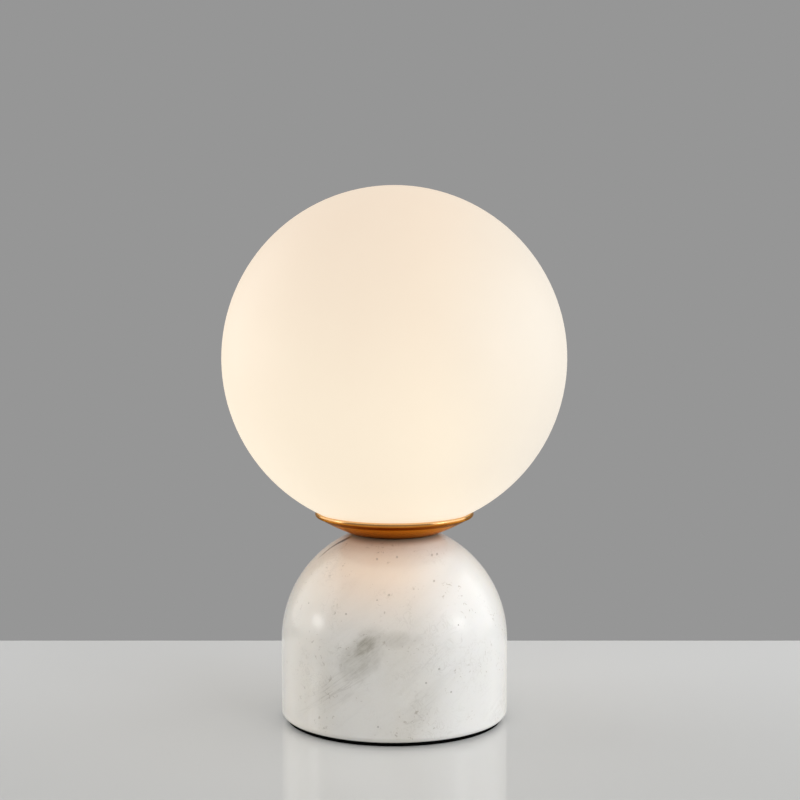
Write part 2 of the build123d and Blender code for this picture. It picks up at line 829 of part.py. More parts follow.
# Two brass terminals under the insert, each bored for its lead.
with BuildPart() as holder_terminals:
    with BuildSketch(Plane.XY.offset(terminal_z)):
        with Locations((-terminal_x, 0), (terminal_x, 0)):
            Rectangle(terminal_width, terminal_depth)
    extrude(amount=terminal_height)

holder_terminals.part.label = "holder_terminals"
export_step(holder_terminals.part, "parts/holder_terminals.step")

# Their screws, at the front, half way up.
with BuildPart() as terminal_screws:
    with BuildSketch(Plane.XZ.offset(terminal_depth / 2)):
        with Locations(*[(x, insert_z - terminal_height / 2) for x in (-terminal_x, terminal_x)]):
            Circle(terminal_screw_head)
    extrude(amount=terminal_screw_head / 2)

terminal_screws.part.label = "terminal_screws"
export_step(terminal_screws.part, "parts/terminal_screws.step")

# The centre tongue: a bronze strip that rises from its terminal and leans over to the
# middle, where the lamp's contact presses on it.
tongue_top_z = contact_z - slip - tongue_sheet / 2

with BuildPart() as centre_tongue:
    with BuildSketch(Plane.XZ):
        with BuildLine():
            FilletPolyline(
                (-tongue_x, terminal_z + tongue_root),
                (-tongue_x, tongue_top_z - tongue_bow),
                (0, tongue_top_z),
                (tongue_overhang, tongue_top_z - tongue_droop),
                radius=tongue_bends,
            )
        trace(line_width=tongue_sheet)
    extrude(amount=tongue_width / 2, both=True)

centre_tongue.part.label = "centre_tongue"
export_step(centre_tongue.part, "parts/centre_tongue.step")

# The shell tongue: a strip that rises from its terminal to the inside of the screw shell.
with BuildPart() as shell_tongue:
    with BuildSketch(Plane.XY.offset(terminal_z + tongue_root)):
        with Locations((shell_tongue_x, 0)):
            Rectangle(tongue_sheet, tongue_width)
    extrude(amount=shell_z + tongue_lap - terminal_z - tongue_root)

shell_tongue.part.label = "shell_tongue"
export_step(shell_tongue.part, "parts/shell_tongue.step")

# ------------------------------------------------------------------ lamp

# A lamp with a screw cap: contact, black glass insulator, cap, moulded housing, chips on
# an aluminium board and an opal diffuser.
cap_z = contact_z + cap_start
button_top_z = contact_z + button_height

with BuildPart() as lamp_contact:
    with BuildSketch(Plane.XY.offset(contact_z)):
        Circle(button_radius)
    extrude(amount=button_height)
    fillet(faces().sort_by(Axis.Z)[0].edges(), radius=button_height / 2)
    with BuildSketch(Plane.XY.offset(button_top_z)):
        Circle(stem_radius)
    extrude(amount=stem_length)

lamp_contact.part.label = "lamp_contact"
export_step(lamp_contact.part, "parts/lamp_contact.step")

with BuildPart() as cap_insulator:
    with BuildSketch(Plane.XY.offset(button_top_z)):
        Circle(button_radius)
    with BuildSketch(Plane.XY.offset(cap_z)):
        Circle(insulator_radius)
    loft()
    with BuildSketch(Plane.XY.offset(button_top_z)):
        Circle(stem_radius + slip / 2)
    extrude(amount=cap_z - button_top_z, mode=Mode.SUBTRACT)

cap_insulator.part.label = "cap_insulator"
export_step(cap_insulator.part, "parts/cap_insulator.step")

with BuildPart() as screw_cap:
    with BuildSketch(Plane.XZ):
        with BuildLine():
            Polyline(
                (insulator_radius - cap_rim, cap_z),
                (insulator_radius, cap_z),
                (cap_radius, cap_z + cap_shoulder),
                (cap_radius, housing_z),
                (cap_radius - cap_wall, housing_z),
                (cap_radius - cap_wall, cap_z + cap_shoulder + cap_wall),
                (insulator_radius - cap_wall, cap_z + cap_wall),
                (insulator_radius - cap_rim, cap_z + cap_wall),
                close=True,
            )
        make_face()
    revolve(axis=Axis.Z)

screw_cap.part.label = "screw_cap"
export_step(screw_cap.part, "parts/screw_cap.step")

# The diffuser: a dome a little over half round, running down into a tapering flank.
flank_centre = lamp_radius - diffuser_flank_radius
flank_drop = lamp_centre_z - diffuser_z


def flank_radius(inset=0.0, drop=flank_drop):
    """Radius of the diffuser's flank, or of a face inside it, below the widest point."""
    return flank_centre + sqrt((diffuser_flank_radius - inset) ** 2 - drop**2)


def diffuser_profile(inset):
    """Half the diffuser's outline, from its rim to its top."""
    flank = ThreePointArc(
        (flank_radius(inset), diffuser_z),
        (flank_radius(inset, flank_drop / 2), lamp_centre_z - flank_drop / 2),
        (lamp_radius - inset, lamp_centre_z),
    )
    crown = CenterArc((0, lamp_centre_z), lamp_radius - inset, 0, 90)
    return flank, crown


with BuildPart() as lamp_diffuser:
    with BuildSketch(Plane.XZ):
        with BuildLine():
            outer_flank, outer_crown = diffuser_profile(0)
            inner_flank, inner_crown = diffuser_profile(diffuser_wall)
            Line(outer_flank @ 0, inner_flank @ 0)
            Line(outer_crown @ 1, inner_crown @ 1)
        make_face()
    revolve(axis=Axis.Z)

lamp_diffuser.part.label = "lamp_diffuser"
export_step(lamp_diffuser.part, "parts/lamp_diffuser.step")

# The housing: a flared cup, filled round its driver, with a spigot down into the cap and
# a step for the board.
housing_top_radius = flank_radius()
spigot_radius = cap_radius - cap_wall - slip

with BuildPart() as lamp_housing:
    with BuildSketch(Plane.XZ):
        with BuildLine():
            spigot = Polyline(
                (0, housing_z - spigot_length),
                (spigot_radius, housing_z - spigot_length),
                (spigot_radius, housing_z),
                (cap_radius, housing_z),
            )
            flare = Spline(
                spigot @ 1,
                (housing_top_radius, diffuser_z),
                tangents=[(lean, 1) for lean in housing_leans],
            )
            Polyline(
                flare @ 1,
                (housing_top_radius - housing_wall, diffuser_z),
                (housing_top_radius - housing_wall, diffuser_z - board_inset),
                (0, diffuser_z - board_inset),
                spigot @ 0,
            )
        make_face()
    revolve(axis=Axis.Z)

lamp_housing.part.label = "lamp_housing"
export_step(lamp_housing.part, "parts/lamp_housing.step")

board_z = diffuser_z - board_inset

with BuildPart() as led_board:
    with BuildSketch(Plane.XY.offset(board_z)):
        Circle(housing_top_radius - housing_wall - slip)
    extrude(amount=board_thickness)

led_board.part.label = "led_board"
export_step(led_board.part, "parts/led_board.step")

with BuildPart() as led_chips:
    with BuildSketch(Plane.XY.offset(board_z + board_thickness)):
        with PolarLocations(chip_circle, chip_count):
            Rectangle(chip_side, chip_side)
    extrude(amount=chip_height)

led_chips.part.label = "led_chips"
export_step(led_chips.part, "parts/led_chips.step")

# ------------------------------------------------------------------ glass globe

# A blown ball of one wall, cut off flat at the mouth. The cut is ground and its two
# edges are eased.
with BuildPart() as glass_globe:
    with BuildSketch(Plane.XZ):
        with BuildLine():
            ground = Line((mouth_radius, mouth_z), (mouth_outer_radius, mouth_z))
            outside = ThreePointArc(
                ground @ 1, (globe_radius, globe_z), (0, globe_z + globe_radius)
            )
            inner_radius = globe_radius - globe_wall
            inside = ThreePointArc(
                ground @ 0, (inner_radius, globe_z), (0, globe_z + inner_radius)
            )
            Line(outside @ 1, inside @ 1)
        outline = make_face()
        edges_of_cut = outline.vertices().group_by(Axis.Y)[0]
        fillet(edges_of_cut, radius=mouth_edge_round)
    revolve(axis=Axis.Z)

glass_globe.part.label = "glass_globe"
export_step(glass_globe.part, "parts/glass_globe.step")
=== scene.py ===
import json
import math

import bmesh
import bpy
from mathutils import Matrix, Vector


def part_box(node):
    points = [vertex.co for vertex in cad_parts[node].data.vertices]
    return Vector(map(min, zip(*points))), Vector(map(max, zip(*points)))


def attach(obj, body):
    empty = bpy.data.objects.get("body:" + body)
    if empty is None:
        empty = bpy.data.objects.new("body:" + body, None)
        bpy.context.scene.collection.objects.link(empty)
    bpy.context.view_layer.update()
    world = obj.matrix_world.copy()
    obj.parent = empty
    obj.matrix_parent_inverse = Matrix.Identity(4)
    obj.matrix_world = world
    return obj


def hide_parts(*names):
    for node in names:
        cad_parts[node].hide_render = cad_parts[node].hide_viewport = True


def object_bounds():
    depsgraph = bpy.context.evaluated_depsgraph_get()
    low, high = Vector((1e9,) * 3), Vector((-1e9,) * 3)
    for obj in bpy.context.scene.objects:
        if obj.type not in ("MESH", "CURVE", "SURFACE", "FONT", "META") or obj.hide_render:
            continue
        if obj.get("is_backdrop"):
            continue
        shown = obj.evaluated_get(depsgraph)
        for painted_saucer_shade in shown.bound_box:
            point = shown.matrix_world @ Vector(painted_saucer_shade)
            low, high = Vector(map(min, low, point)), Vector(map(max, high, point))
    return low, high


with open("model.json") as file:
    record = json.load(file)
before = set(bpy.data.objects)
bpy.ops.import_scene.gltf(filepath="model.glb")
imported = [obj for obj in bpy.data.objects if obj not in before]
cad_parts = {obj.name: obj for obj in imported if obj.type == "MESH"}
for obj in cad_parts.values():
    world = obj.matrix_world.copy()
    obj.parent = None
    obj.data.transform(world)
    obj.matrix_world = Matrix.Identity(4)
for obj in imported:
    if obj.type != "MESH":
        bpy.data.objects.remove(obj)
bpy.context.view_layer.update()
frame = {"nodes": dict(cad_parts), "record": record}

# A table lamp: an opal glass globe in a brass saucer on a polished marble dome, with the
# holder, the lamp and the wiring that it holds inside. Metres, +Z up, the front on -Y.

# ------------------------------------------------------------------ marble base
# One block of white marble, turned to a dome and polished. Its veins are sheets that run
# through it at one slope. The front shows a cloud of them, fine strokes, a crack, flecks and
# open pits. The stone carries the saucer and hides the wiring.

mm = 0.001


def paint(red, green, blue):
    """A colour as a screen shows it, 0 to 255 a part, turned into a shader's linear one."""
    linear = []
    for part in (red / 255, green / 255, blue / 255):
        linear.append(((part + 0.055) / 1.055) ** 2.4 if part > 0.04 else part / 12.92)
    return (*linear, 1.0)


class Number:
    """A value that changes over a surface. Arithmetic on it adds Math nodes."""

    def __init__(self, finish, socket):
        self.finish = finish
        self.socket = socket

    def maths(self, operation, *values):
        return self.finish.node("Math", {"operation": operation}, dict(enumerate(values)))

    def __add__(self, other):
        return self.maths("ADD", self, other)

    def __sub__(self, other):
        return self.maths("SUBTRACT", self, other)

    def __rsub__(self, other):
        return self.maths("SUBTRACT", other, self)

    def __mul__(self, other):
        return self.maths("MULTIPLY", self, other)

    def __truediv__(self, other):
        return self.maths("DIVIDE", self, other)

    def __pow__(self, other):
        return self.maths("POWER", self, other)

    def __abs__(self):
        return self.maths("ABSOLUTE", self)

    def most(self, other):
        return self.maths("MAXIMUM", self, other)

    def root(self):
        return self.maths("SQRT", self)

    def rise(self, low, high):
        """0 up to low, 1 from high on, and smooth between. It falls where low is above high."""
        inputs = {"Value": self, "From Min": low, "From Max": high}
        return self.finish.node("MapRange", {"interpolation_type": "SMOOTHSTEP"}, inputs)

    __radd__ = __add__
    __rmul__ = __mul__


class Finish:
    """One material: a Principled shader, its even values, and the nodes that vary the rest."""

    def __init__(self, name, even):
        self.material = bpy.data.materials.new(name)
        self.material.use_nodes = True
        self.tree = self.material.node_tree
        self.shader = self.tree.nodes["Principled BSDF"]
        for socket, value in even.items():
            self.shader.inputs[socket].default_value = value
        self.place = self.node("TexCoord", output="Object")
        split = {"Vector": self.place}
        self.x, self.y, self.z = [self.node("SeparateXYZ", {}, split, axis) for axis in "XYZ"]

    def node(self, kind, settings=None, inputs=None, output=0):
        """A new node with its settings, then its inputs by value or link, as its output."""
        made = self.tree.nodes.new("ShaderNode" + kind)
        for name, value in (settings or {}).items():
            setattr(made, name, value)
        for name, value in (inputs or {}).items():
            if isinstance(value, Number):
                self.tree.links.new(value.socket, made.inputs[name])
            else:
                made.inputs[name].default_value = value
        return Number(self, made.outputs[output])

    def noise(self, scale, detail=3.0, place=None, **inputs):
        """Noise of that many waves to the metre."""
        inputs = {key.title(): value for key, value in inputs.items()}
        inputs.update({"Vector": place or self.place, "Scale": scale, "Detail": detail})
        return self.node("TexNoise", {}, inputs)

    def stretched(self, slope, stretch):
        """The place in a frame that is turned about Y and stretched along its own axes."""
        inputs = {"Vector": self.place, "Rotation": (0, -slope, 0), "Scale": stretch}
        return self.node("Mapping", {"vector_type": "TEXTURE"}, inputs)

    def mix(self, share, first, second):
        """The first colour where share is 0, the second where it is 1."""
        return self.node("Mix", {"data_type": "RGBA"}, {0: share, 6: first, 7: second}, 2)

    def radius(self):
        """Distance from the Z axis."""
        return (self.x**2 + self.y**2).root()

    def feed(self, **values):
        """Links values to the shader's sockets, whose names are written with underscores."""
        for name, value in values.items():
            socket = self.shader.inputs[name.replace("_", " ").title()]
            self.tree.links.new(value.socket, socket)

    def relief(self, height, depth, strength=1.0):
        """Relief too fine for the mesh: a height of 1 stands that depth above a height of 0."""
        inputs = {"Height": height, "Distance": depth, "Strength": strength}
        self.feed(normal=self.node("Bump", {}, inputs))


def dress(finish, *names):
    """Gives these nodes of the frame a finish. Their meshes stay as they are."""
    for name in names:
        frame["nodes"][name].material_slots[0].material = finish.material


stone = Finish(
    "polished_marble",
    {
        "IOR": 1.5,
        "Subsurface Weight": 0.08,
        "Subsurface Radius": (4 * mm, 3 * mm, 2 * mm),
    },
)
front = stone.y.rise(-5 * mm, -30 * mm)
bedding = stone.stretched(math.radians(41), (1.0, 0.8, 0.22))
wobble = stone.noise(70, 4, roughness=0.6) - 0.5
drift = stone.noise(15, 3, roughness=0.5)
fog = stone.noise(26, 5, place=bedding, roughness=0.62, distortion=0.6)
crystals = stone.noise(900, 2)
sheets = stone.noise(11, 9, place=bedding, roughness=0.6, distortion=0.9)
hairs = stone.noise(34, 6, place=bedding, roughness=0.55, distortion=0.4)
patches = stone.noise(19, 2, roughness=0.4).rise(0.55, 0.72)
curls = abs(stone.noise(130, 2, roughness=0.5, distortion=2.2) - 0.5).rise(0.045, 0.0)
curls = curls * stone.noise(40, 3, roughness=0.6).rise(0.48, 0.64)
flecks = stone.noise(420, 3, roughness=0.6, distortion=0.7).rise(0.6, 0.68)
flecks = flecks * stone.noise(58, 3, roughness=0.6).rise(0.5, 0.62)
vein = abs(sheets - 0.5).rise(0.035, 0.0) * patches
hair = abs(hairs - 0.52).rise(0.022, 0.0) * patches


def streak(x, z, length, width, slope):
    """A patch of vein on the front: its middle across and up and its half length and half
    width in mm, and its slope in degrees."""
    slope = math.radians(slope)
    from_x, from_z = stone.x - x * mm, stone.z - z * mm
    across = from_z * math.cos(slope) - from_x * math.sin(slope)
    along = from_z * math.sin(slope) + from_x * math.cos(slope)
    ragged = (along / (length * mm)) ** 2 + (across / (width * mm)) ** 2 + wobble * 1.8
    return ragged.rise(1.4, -0.5) * front


cloud = streak(-17.5, 51.5, 18, 10.5, 54)
core = streak(-16.5, 56, 10, 5.5, 44)
arm = streak(-1, 60.5, 19, 5, 4)
ghost = streak(16, 23, 18, 8, 58)
threads = stone.noise(170, 5, place=bedding, roughness=0.65, distortion=0.8).rise(0.36, 0.7)
soft_vein = (cloud * 0.62).most(core * 1.1).most(arm * 0.32).most(ghost * 0.13)
soft_vein = soft_vein * (0.66 + threads * 0.34)

# Fine parallel strokes run down to the left from the cloud.
stroke_slope = 38
combed = stone.stretched(math.radians(stroke_slope), (1.0, 0.3, 0.045))
strokes = stone.noise(15, 5, place=combed, roughness=0.6, distortion=0.5)
stroke_field = streak(-32, 31, 30, 8, stroke_slope)
strokes = abs(strokes - 0.5).rise(0.045, 0.0) * stroke_field

# A short dark crack high on the left, where a sheet comes out at the dome. It narrows down
# the side and has a soft brown edge.
crack_path = abs(stone.y + 9.5 * mm + wobble * (4 * mm))
crack_ends = stone.x.rise(-24 * mm, -27 * mm) * stone.x.rise(-46 * mm, -38 * mm)
crack_ends = crack_ends * stone.z.rise(92 * mm, 97 * mm)
crack_width = 0.9 * mm + stone.x.rise(-38 * mm, -29 * mm) * (2.2 * mm)
crack = crack_path.rise(crack_width, 0.1 * mm) * crack_ends
crack_shade = crack_path.rise(3 * mm, 0.0) * crack_ends

# Pits: chance ones all through the stone, and the few that show at the front. Their places
# are in mm, across and up.
cells = {"Vector": stone.place, "Scale": 105.0}
chance = stone.node("SeparateColor", {}, {"Color": stone.node("TexVoronoi", {}, cells, "Color")})
pit = stone.node("TexVoronoi", {}, cells, "Distance").rise(0.06, 0.03) * chance.rise(0.74, 0.76)
front_pits = [(31.8, 29.7), (-8.9, 11.9), (-2.8, 84.1), (22.4, 90.1), (25, 43.6), (-26.8, 73.2)]
front_pits += [(1.6, 102.3), (-9.7, 101.2), (21.5, 102.3), (24.4, 102.4), (17.7, 36.3)]
pit_outer, pit_inner = 0.75 * mm, 0.25 * mm
for pit_x, pit_z in front_pits:
    away = (stone.x - pit_x * mm) ** 2 + (stone.z - pit_z * mm) ** 2
    pit = pit.most(away.rise(pit_outer**2, pit_inner**2) * front * 0.8)

# The stone's colour holds painted light: a painted warm glow of the globe high up, painted
# side light that makes it whiter at the right and creamier at the left, and painted brown
# shade in the corner under the saucer.
painted_globe_glow = stone.z.rise(58 * mm, 102 * mm) * stone.x.rise(48 * mm, -16 * mm)
painted_right_light = stone.x.rise(2 * mm, 36 * mm) * front
painted_left_light = stone.x.rise(-30 * mm, -52 * mm) * front
painted_saucer_shade = stone.z.rise(106.5 * mm, 110 * mm)

ground = stone.mix(drift.rise(0.35, 0.68), paint(243, 241, 236), paint(232, 228, 220))
for share, colour in (
    (fog.rise(0.45, 0.75) * 0.16, paint(206, 203, 196)),
    (crystals.rise(0.35, 0.7) * 0.12, paint(250, 250, 247)),
    # Painted light: the globe's warm glow high up, and the side light at the right and the left.
    (painted_globe_glow * 0.5, paint(237, 211, 184)),
    (painted_right_light * 0.65, paint(249, 250, 250)),
    (painted_left_light * 0.6, paint(250, 244, 233)),
    (hair * 0.07, paint(168, 160, 150)),
    (curls * 0.13, paint(158, 149, 136)),
    (flecks * 0.42, paint(150, 136, 117)),
    (vein * 0.09, paint(160, 156, 148)),
    (stroke_field * 0.1, paint(150, 138, 126)),
    (strokes * 0.25, paint(140, 130, 116)),
    (soft_vein, paint(140, 134, 116)),
    (crack_shade * 0.35, paint(150, 122, 92)),
    (crack * 0.85, paint(72, 52, 34)),
    (pit * 0.55, paint(112, 103, 92)),
    # Painted shade in the corner under the saucer's foot.
    (painted_saucer_shade * 0.75, paint(150, 112, 74)),
):
    ground = stone.mix(share, ground, colour)
stone.feed(base_color=ground, roughness=0.155 + drift * 0.05 + crystals * 0.02 + pit * 0.4)
stone.relief(1 - pit.most(crack), 0.25 * mm, 0.5)
dress(stone, "marble_base")

# ------------------------------------------------------------------ foot pad
# A die cut disc of black closed cell foam, glued on under the stone. It stands a little in
# from the stone's side, so that only a black line of it shows.


def lathe(profile, steps=128):
    """Spins an outline of (radius, height) points about the Z axis to a closed skin."""
    skin = bmesh.new()
    points = [skin.verts.new((radius, 0, height)) for radius, height in profile]
    chain = [skin.edges.new(pair) for pair in zip(points, points[1:])]
    if profile[0][0] > 0 or profile[-1][0] > 0:
        chain.append(skin.edges.new((points[-1], points[0])))
    bmesh.ops.spin(
        skin,
        geom=points + chain,
        cent=(0, 0, 0),
        axis=(0, 0, 1),
        angle=math.tau,
        steps=steps,
        use_merge=True,
    )
    bmesh.ops.remove_doubles(skin, verts=skin.verts, dist=0.001 * mm)
    bmesh.ops.recalc_face_normals(skin, faces=skin.faces)
    return skin


def arc(centre_r, centre_z, radius, start, end, count=12):
    """Points on an arc, from one angle to another in degrees, 0 outwards and 90 up."""
    turns = [math.radians(start + (end - start) * step / count) for step in range(count + 1)]
    return [(centre_r + radius * math.cos(t), centre_z + radius * math.sin(t)) for t in turns]


def finished(skin, name, finish, body, node, crease=35):
    """The skin as a piece in a CAD node's place: smooth but for edges over crease degrees."""
    for face in skin.faces:
        face.smooth = True
    for edge in skin.edges:
        edge.smooth = edge.calc_face_angle(0) < math.radians(crease)
    mesh = bpy.data.meshes.new(name)
    skin.to_mesh(mesh)
    skin.free()
    mesh.materials.append(finish.material)
    piece = bpy.data.objects.new(name, mesh)
    bpy.context.scene.collection.objects.link(piece)
    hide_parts(node)
    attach(piece, body)
    return piece


pad_low, pad_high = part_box("foot_pad")
pad_round = 0.35 * mm
foam = Finish("closed_cell_foam", {"Specular IOR Level": 0.04})
pores = foam.node("TexVoronoi", {}, {"Vector": foam.place, "Scale": 1400.0}, "Distance")
foam_tone = foam.mix(foam.noise(300), paint(2, 2, 2), paint(8, 8, 8))
foam.feed(base_color=foam_tone, roughness=0.8 + pores * 0.2)
foam.relief(pores, 0.1 * mm, 0.5)

pad_outline = [(0, pad_low.z)]
pad_outline += arc(pad_high.x - pad_round, pad_low.z + pad_round, pad_round, -90, 0, 5)
pad_outline += arc(pad_high.x - pad_round, pad_high.z - pad_round, pad_round, 0, 90, 5)
pad_outline += [(0, pad_high.z)]
pad = finished(lathe(pad_outline, 192), "pad_disc", foam, "base", "foot_pad")

# ------------------------------------------------------------------ base plate
# A zinc plated steel disc in the stone's recess. Three countersunk screws hold it on
# brass inserts, which are glued into the stone.


def plated(name, colour, dull_colour, roughness, stains=60):
    """A metal with the small changes of gloss and tone of its plating, and handling marks.
    There are that many stains to the metre."""
    metal = Finish(name, {"Metallic": 1.0})
    stain = metal.noise(stains, 5, roughness=0.6)
    marks = metal.noise(stains * 14, 3, roughness=0.7)
    metal.feed(
        base_color=metal.mix(stain.rise(0.35, 0.75), colour, dull_colour),
        roughness=roughness + stain * 0.12 + marks * 0.05,
    )
    metal.relief(marks, 0.02 * mm, 0.3)
    return metal


def solids(name):
    """The lowest and highest corner of each separate solid of a CAD node."""
    whole = bmesh.new()
    whole.from_mesh(frame["nodes"][name].data)
    bmesh.ops.remove_doubles(whole, verts=whole.verts, dist=0.01 * mm)
    left = set(whole.verts)
    corners = []
    while left:
        joined = [left.pop()]
        for vert in joined:
            for other in [edge.other_vert(vert) for edge in vert.link_edges]:
                if other in left:
                    left.discard(other)
                    joined.append(other)
        spans = [[vert.co[axis] for vert in joined] for axis in range(3)]
        corners.append((Vector(map(min, spans)), Vector(map(max, spans))))
    whole.free()
    return corners


def drawn_out(skin, faces, rise, size=1.0):
    """Extrudes faces as one region along Z, scales what came out, and gives back its faces."""
    made = bmesh.ops.extrude_face_region(skin, geom=faces)["geom"]
    verts = [item for item in made if isinstance(item, bmesh.types.BMVert)]
    bmesh.ops.delete(skin, geom=[face for face in faces if face.is_valid], context="FACES_ONLY")
    bmesh.ops.scale(skin, vec=(size, size, 1), verts=verts)
    bmesh.ops.translate(skin, vec=(0, 0, rise), verts=verts)
    return [item for item in made if isinstance(item, bmesh.types.BMFace)]


def driven(head, root, height, shank, length, arms, arm_width, depth):
    """One screw, the middle of its head's top at the origin: a head that may narrow to its
    root, a shank, and a recess whose arms run along X, and along Y too where it is a cross.
    All but the length, the height and the depth are radii or half widths."""
    level = 0.001 * mm
    rim_round = 0.12 * mm
    one = bmesh.new()
    bmesh.ops.create_cone(
        one,
        cap_ends=True,
        segments=32,
        radius1=root,
        radius2=head,
        depth=height,
        matrix=Matrix.Translation((0, 0, -height / 2)),
    )
    if length > height:
        under = [min(one.faces, key=lambda face: face.calc_center_median().z)]
        if shank < root:
            under = drawn_out(one, under, 0, shank / root)
        drawn_out(one, under, height - length)
    rim = [edge for edge in one.edges if all(vert.co.z > -level for vert in edge.verts)]
    bmesh.ops.bevel(
        one,
        geom=rim,
        offset=rim_round,
        offset_type="OFFSET",
        affect="EDGES",
        segments=2,
        profile=0.5,
        material=-1,
    )
    for normal in (Vector((1, 0, 0)), Vector((0, 1, 0))):
        for offset in (-arms[0], -arm_width, arm_width, arms[0]):
            top = [face for face in one.faces if face.calc_center_median().z > -level]
            edges = {edge for face in top for edge in face.edges}
            verts = {vert for face in top for vert in face.verts}
            bmesh.ops.bisect_plane(
                one,
                geom=[*top, *edges, *verts],
                dist=level / 10,
                plane_co=normal * offset,
                plane_no=normal,
            )
    cut = []
    for face in one.faces:
        middle = face.calc_center_median()
        along, across = abs(middle.x), abs(middle.y)
        in_slot = along < arms[0] and across < arm_width
        in_cross = across < arms[1] and along < arm_width
        if middle.z > -level and (in_slot or in_cross):
            cut.append(face)
    drawn_out(one, cut, -depth)
    return one


def gathered(ones, places):
    """One skin of several, each turned and moved to its place. It frees the several."""
    skin = bmesh.new()
    for one, place in zip(ones, places):
        one.transform(place)
        carrier = bpy.data.meshes.new("carrier")
        one.to_mesh(carrier)
        one.free()
        skin.from_mesh(carrier)
        bpy.data.meshes.remove(carrier)
    bmesh.ops.recalc_face_normals(skin, faces=skin.faces)
    return skin


zinc = plated("zinc_plate", paint(205, 208, 212), paint(176, 178, 176), 0.24)
machined_brass = plated("machined_brass", paint(222, 184, 112), paint(196, 152, 84), 0.22)
dress(zinc, "base_plate")
dress(machined_brass, "plate_inserts")

ones, places = [], []
plate_shank = 2.0 * mm
cross_reach = 0.55
cross_width, cross_depth = 0.45 * mm, 1.6 * mm
for low, high in solids("plate_screws"):
    head = (high.x - low.x) / 2
    sizes = (head, plate_shank, head - plate_shank, plate_shank, high.z - low.z)
    arms = (head * cross_reach, head * cross_reach)
    ones.append(driven(*sizes, arms, cross_width, cross_depth))
    middle = Matrix.Translation(((low.x + high.x) / 2, (low.y + high.y) / 2, low.z))
    places.append(middle @ Matrix.Rotation(math.pi, 4, "X"))
skin = gathered(ones, places)
finished(skin, "countersunk_screws", zinc, "base", "plate_screws")

# ------------------------------------------------------------------ cord bush
# A flanged bush of black polyamide, pushed into the cord hole at the back.


def moulded(name, colour, worn_colour, roughness):
    """A moulded plastic: a fine even texture from its tool and a slight change of tone."""
    plastic = Finish(name, {})
    tone = plastic.noise(35, 4)
    texture = plastic.noise(2240, 2)
    plastic.feed(
        base_color=plastic.mix(tone.rise(0.3, 0.75), colour, worn_colour),
        roughness=roughness + tone * 0.1 + texture * 0.06,
    )
    plastic.relief(texture, 0.02 * mm, 0.4)
    return plastic


dress(moulded("black_polyamide", paint(24, 24, 25), paint(38, 37, 36), 0.38), "cord_bush")

# ------------------------------------------------------------------ threaded tube
# A steel tube with a 1 mm thread, the lamp's tie bar. Below the stone's ceiling it takes a
# wide washer, the earth tag, a spring washer and a nut.


def roll_thread(skin, low, high, pitch, depth, least=0.0):
    """Presses a rounded thread inwards, between two heights and fading out at both. What lies
    inside the least radius stays as it is."""
    run_out = 0.7 * pitch
    for vert in skin.verts:
        radius = vert.co.xy.length
        turn = math.atan2(vert.co.y, vert.co.x) / math.tau
        wave = 0.5 - 0.5 * math.cos(math.tau * (vert.co.z / pitch - turn))
        fade = min(1, min(vert.co.z - low, high - vert.co.z) / run_out)
        if fade > 0 and radius > least:
            vert.co.xy *= 1 - depth * wave * fade / radius


def even_rows(radius, low, high, rows):
    """Points up a straight wall, close enough together for a thread."""
    return [(radius, low + (high - low) * row / rows) for row in range(rows + 1)]


tube_low, tube_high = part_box("threaded_tube")
tube_bore = tube_high.x - 1.0 * mm
tube_pitch, tube_thread_depth = 1.0 * mm, 0.5 * mm
tube_rows = 8 * round((tube_high.z - tube_low.z) / tube_pitch)
tube_outline = even_rows(tube_high.x, tube_low.z, tube_high.z, tube_rows)
tube_outline += [(tube_bore, tube_high.z), (tube_bore, tube_low.z)]
tube_skin = lathe(tube_outline, 48)
middle_of_wall = (tube_high.x + tube_bore) / 2
roll_thread(
    tube_skin, tube_low.z, tube_high.z, tube_pitch, tube_thread_depth, least=middle_of_wall
)
finished(tube_skin, "tie_tube", zinc, "base", "threaded_tube", crease=60)
dress(zinc, "stone_washer", "tube_lock_washer", "tube_nut")
dress(machined_brass, "earth_tag")

# ------------------------------------------------------------------ terminal block
# Three brass clamps in a block of white polyamide, screwed down on the base plate.

nylon = moulded("white_polyamide", paint(232, 230, 222), paint(218, 215, 204), 0.42)
dress(nylon, "terminal_block")
dress(machined_brass, "terminal_clamps")

# Their screws have cross recesses, and each was left turned as it came tight.
small_cross_reach, small_cross_width, small_cross_depth = 0.66, 0.3 * mm, 0.6
turn_by_place = 300
for node, name, head_height, shank in (
    ("clamp_screws", "clamping_screws", 1.6 * mm, 1.25 * mm),
    ("block_screws", "block_fixings", 1.8 * mm, 1.5 * mm),
):
    ones, places = [], []
    for low, high in solids(node):
        head = (high.x - low.x) / 2
        sizes = (head, head, head_height, shank, high.z - low.z)
        arms = (head * small_cross_reach, head * small_cross_reach)
        ones.append(driven(*sizes, arms, small_cross_width, head_height * small_cross_depth))
        middle = Matrix.Translation(((low.x + high.x) / 2, (low.y + high.y) / 2, high.z))
        places.append(middle @ Matrix.Rotation(low.y * turn_by_place, 4, "Z"))
    finished(gathered(ones, places), name, zinc, "base", node)

# ------------------------------------------------------------------ leads
# Single cores in smooth insulation: brown, blue, and green with yellow bands.

dress(moulded("brown_core", paint(92, 54, 30), paint(78, 44, 24), 0.32), "live_lead")
dress(moulded("blue_core", paint(38, 92, 168), paint(30, 78, 150), 0.32), "neutral_lead")

earth = Finish("green_yellow_core", {})
slanted = {"bands_direction": "DIAGONAL"}
bands = earth.node("TexWave", slanted, {"Vector": earth.place, "Scale": 120.0})
earth.feed(
    base_color=earth.mix(bands.rise(0.45, 0.55), paint(64, 150, 58), paint(232, 208, 44)),
    roughness=0.3 + earth.noise(300) * 0.1,
)
dress(earth, "earth_lead")

# ------------------------------------------------------------------ brass saucer
# A dish spun from brass sheet and lacquered. The dish keeps fine rings from the lathe, and
# its rounded lip is polished. The tube's nut clamps it on the stone.

